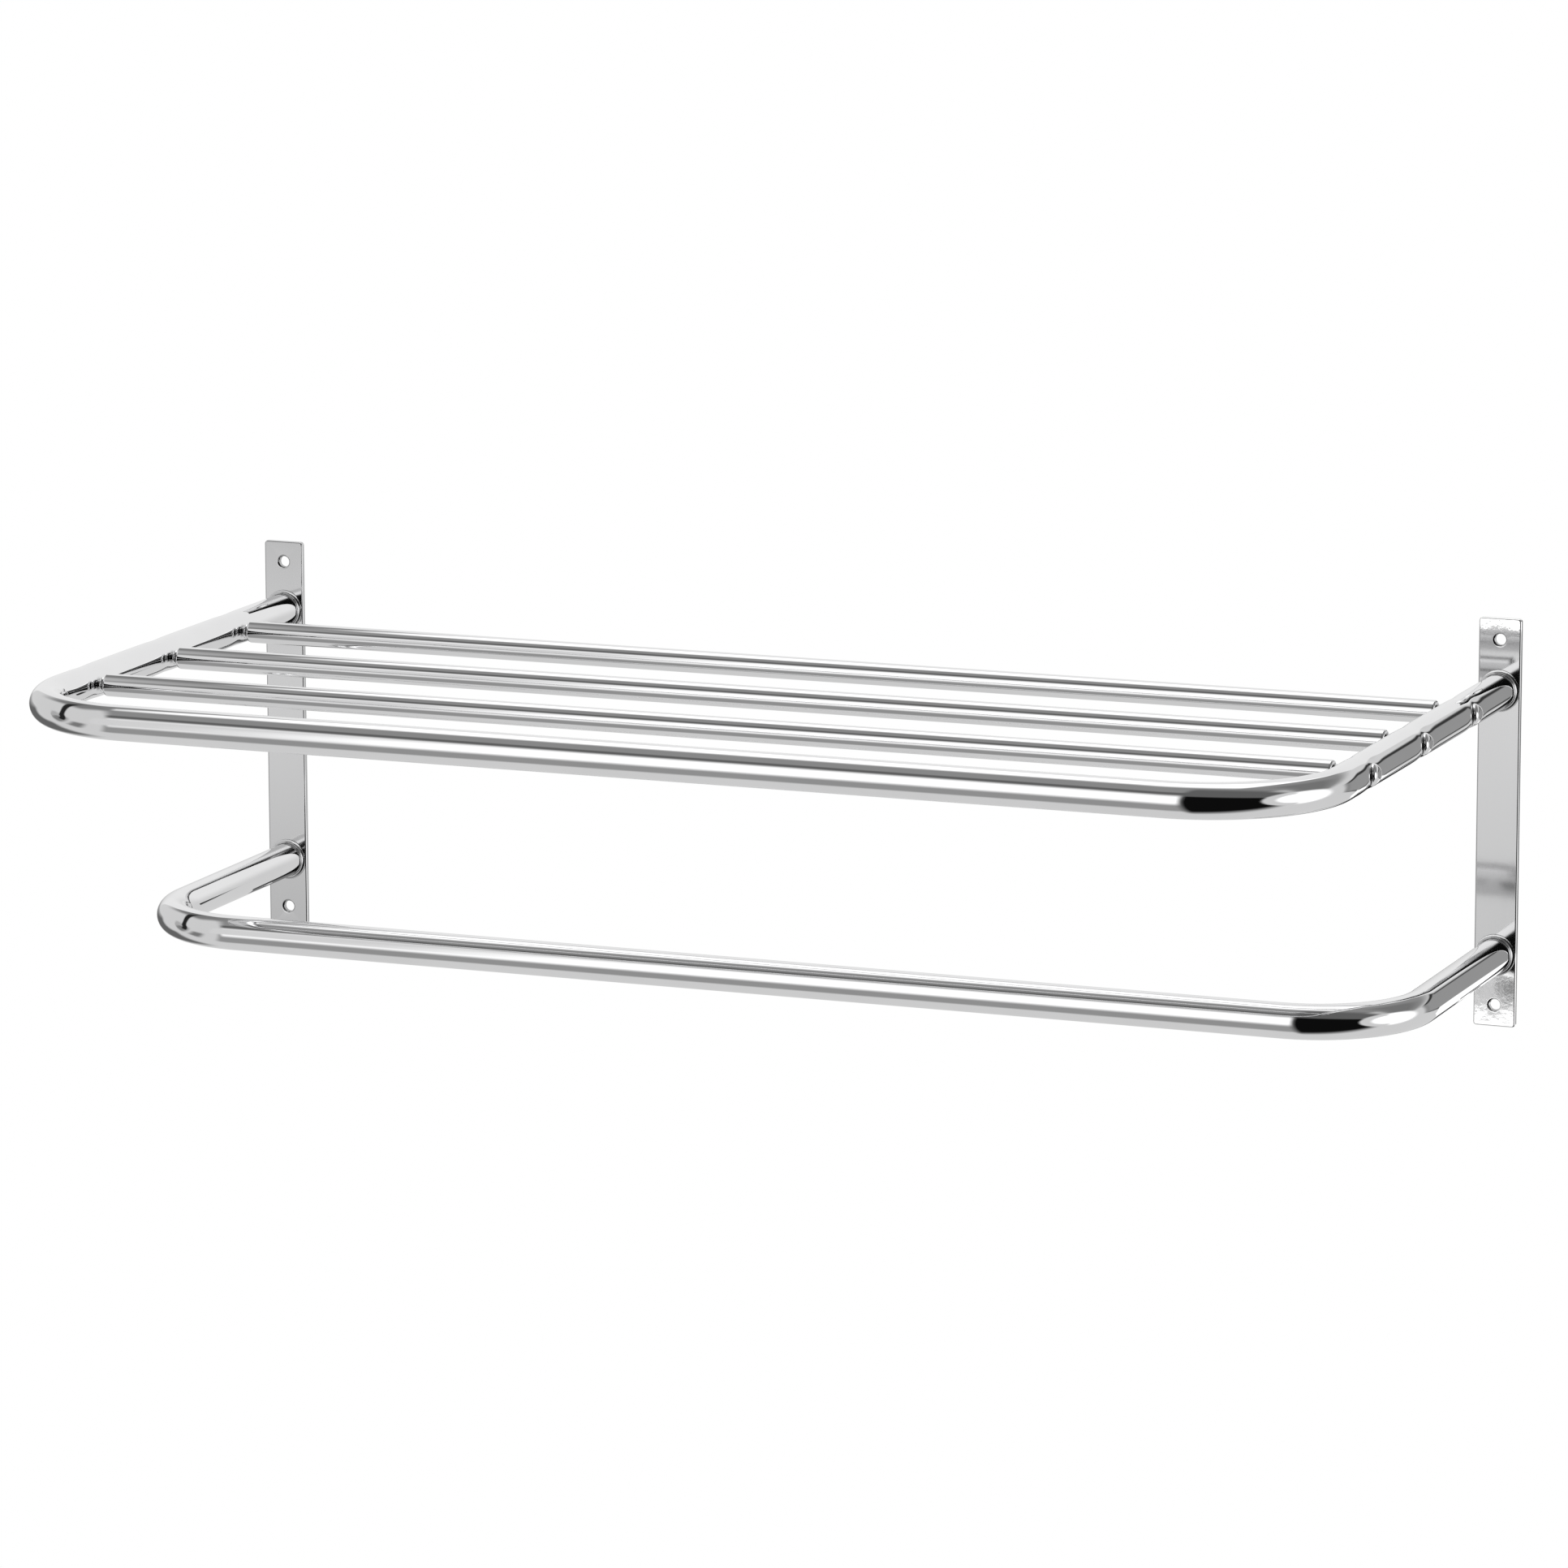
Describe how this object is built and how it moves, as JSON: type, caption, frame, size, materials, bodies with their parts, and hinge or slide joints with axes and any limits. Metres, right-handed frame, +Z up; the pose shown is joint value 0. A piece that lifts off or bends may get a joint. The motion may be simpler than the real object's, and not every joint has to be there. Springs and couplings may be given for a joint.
{
  "type": "towel rack",
  "caption": "Wall-mounted towel rack: a bent-tube shelf crossed by round rods above a shorter bent-tube towel bar, on two upright flat wall plates.",
  "frame": {"origin": "on the wall plane, midway between the two wall plates and halfway up them", "axes": "+X to the right as seen from in front, along the rods; +Y into the wall, so the rack stands out towards -Y; +Z up"},
  "size_m": [0.63, 0.308, 0.19],
  "materials": {
    "tube_chrome": "polished",
    "rod_chrome": "polished",
    "fitting_chrome": "polished",
    "weld_chrome": "polished over a dressed weld",
    "plate_chrome": "satin"
  },
  "bodies": {
    "root": {"bar_weld_left": "weld_chrome", "bar_weld_right": "weld_chrome", "left_wall_plate": "plate_chrome", "right_wall_plate": "plate_chrome", "rod_spacer_front_left": "fitting_chrome", "rod_spacer_front_right": "fitting_chrome", "rod_spacer_middle_left": "fitting_chrome", "rod_spacer_middle_right": "fitting_chrome", "rod_spacer_rear_left": "fitting_chrome", "rod_spacer_rear_right": "fitting_chrome", "rod_stud_front_left": "fitting_chrome", "rod_stud_front_right": "fitting_chrome", "rod_stud_middle_left": "fitting_chrome", "rod_stud_middle_right": "fitting_chrome", "rod_stud_rear_left": "fitting_chrome", "rod_stud_rear_right": "fitting_chrome", "shelf_frame_tube": "tube_chrome", "shelf_rod_front": "rod_chrome", "shelf_rod_middle": "rod_chrome", "shelf_rod_rear": "rod_chrome", "shelf_weld_left": "weld_chrome", "shelf_weld_right": "weld_chrome", "towel_bar_tube": "tube_chrome"}
  },
  "joints": []
}
